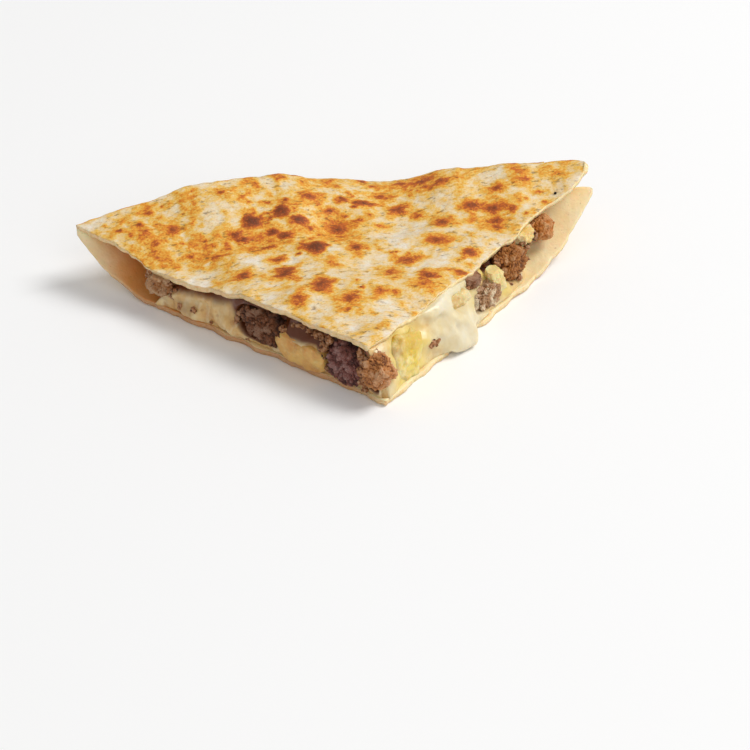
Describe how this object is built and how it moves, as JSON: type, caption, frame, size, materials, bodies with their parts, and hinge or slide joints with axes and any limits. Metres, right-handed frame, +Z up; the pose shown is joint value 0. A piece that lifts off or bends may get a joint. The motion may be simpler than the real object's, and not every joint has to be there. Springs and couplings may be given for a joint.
{
  "type": "gozleme wedge",
  "caption": "Cut wedge of thin folded flatbread, griddled in spots, filled with melted cheese, minced meat and potato; two cut sides show the filling.",
  "frame": {"origin": "middle of the box in plan, on the surface that the belly lies on", "axes": "+X from the left tip to the right corner, +Y from the front tip to the fold, +Z up"},
  "size_m": [0.181, 0.1065, 0.0284],
  "materials": {
    "dough": "griddled flatbread, dry and slightly rough, with browned spots",
    "cheese": "melted white cheese, moist and softly glossy",
    "meat": "cooked minced meat, crumbly",
    "potato": "cooked potato, moist and mealy"
  },
  "bodies": {
    "root": {"dough": "dough", "cheese": "cheese", "meat_left_back": "meat", "meat_left_middle": "meat", "meat_left_front": "meat", "meat_tip": "meat", "meat_right_front": "meat", "meat_right_top": "meat", "meat_right_middle": "meat", "meat_right_back": "meat", "potato_left": "potato", "potato_tip": "potato", "potato_right": "potato", "potato_stick": "potato", "potato_right_back": "potato"}
  },
  "joints": []
}
